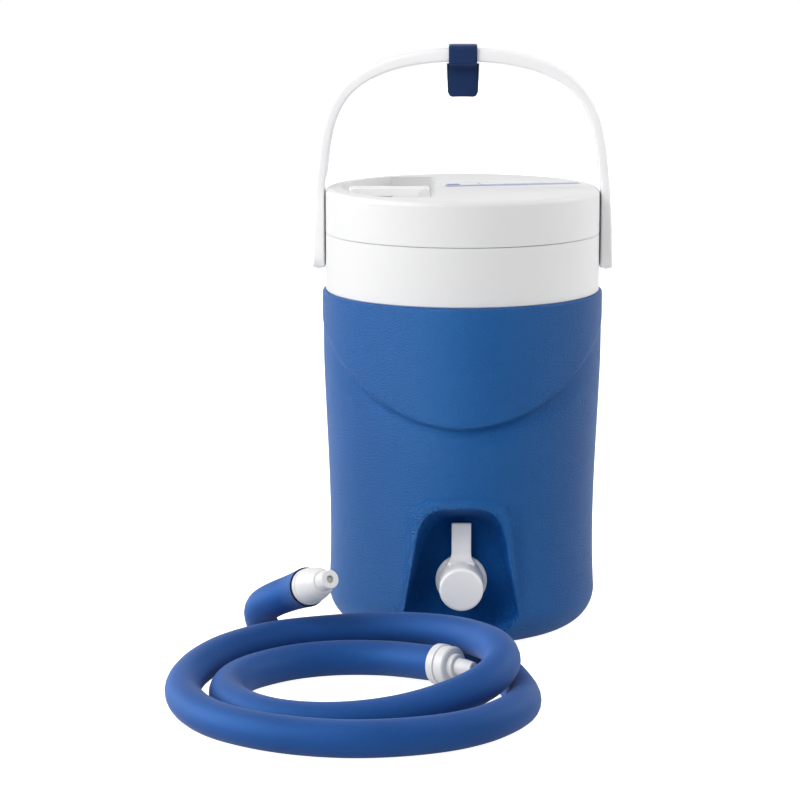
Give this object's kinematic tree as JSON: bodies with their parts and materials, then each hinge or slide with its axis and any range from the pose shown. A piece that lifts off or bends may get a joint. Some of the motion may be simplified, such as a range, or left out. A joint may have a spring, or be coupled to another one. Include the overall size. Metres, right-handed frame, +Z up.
{
  "type": "cold therapy cooler jug",
  "caption": "Insulated gravity-fed cold therapy jug with screw lid, flip vent lever, swinging bail handle, capped outlet in a hooded pocket, and a loose foam-sleeved hose.",
  "frame": {"origin": "centre of the jug's base, on the surface it stands on", "axes": "+Z up, -Y towards the outlet at the front, +X to the right seen from the front"},
  "size_m": [0.2902, 0.4277, 0.4046],
  "materials": {
    "shell": "pebbled",
    "foam": "matte",
    "liner": "satin",
    "collar": "satin",
    "outlet": "satin",
    "rubber": "matte",
    "lid": "satin",
    "lever": "satin",
    "handle": "satin",
    "strap": "matte",
    "hose": "matte",
    "coupler": "satin"
  },
  "bodies": {
    "jug": {"outer_shell": "shell", "foam_insulation": "foam", "inner_liner": "liner", "fill_plug": "shell", "collar_ring": "collar", "outlet_fitting": "outlet", "outlet_gasket": "rubber", "outlet_washer": "rubber", "outlet_nut": "outlet", "hose_sleeve": "hose", "front_coupler_ring": "coupler", "front_coupler_collar": "coupler", "front_coupler_body": "coupler", "front_coupler_tip": "coupler", "rear_coupler_ring": "coupler", "rear_coupler_body": "coupler", "rear_coupler_nozzle": "coupler"},
    "handle": {"handle_bail": "handle", "strap_band": "strap", "strap_flap": "strap"},
    "lid_carrier": {"lid_gasket": "rubber"},
    "lid": {"lid_top_shell": "lid", "lid_bottom_pan": "lid", "lid_foam": "foam", "vent_pin": "lever"},
    "vent": {"vent_lever": "lever", "vent_seal": "rubber"},
    "cap": {"outlet_cap": "outlet", "cap_seal": "rubber"}
  },
  "joints": [
    {"name": "handle_swing", "type": "hinge", "parent": "jug", "child": "handle", "pos_m": [0, 0, 0.262], "axis": [1, 0, 0], "range_deg": [-108, 108]},
    {"name": "lid_rise", "type": "slide", "parent": "jug", "child": "lid_carrier", "axis": [0, 0, 1], "range_m": [0, 0.0025]},
    {"name": "lid_turn", "type": "hinge", "parent": "lid_carrier", "child": "lid", "pos_m": [0, 0, 0.29], "axis": [0, 0, 1], "range_deg": [0, 180]},
    {"name": "vent_lever_flip", "type": "hinge", "parent": "lid", "child": "vent", "pos_m": [-0.026, -0.006, 0.3027], "axis": [0, 1, 0], "range_deg": [0, 105]},
    {"name": "outlet_cap_pull", "type": "slide", "parent": "jug", "child": "cap", "axis": [0, -1, 0], "range_m": [0, 0.036]}
  ],
  "couplings": [
    {"joint": "lid_rise", "follows": "lid_turn", "m_per_rad": 0.00079577}
  ]
}
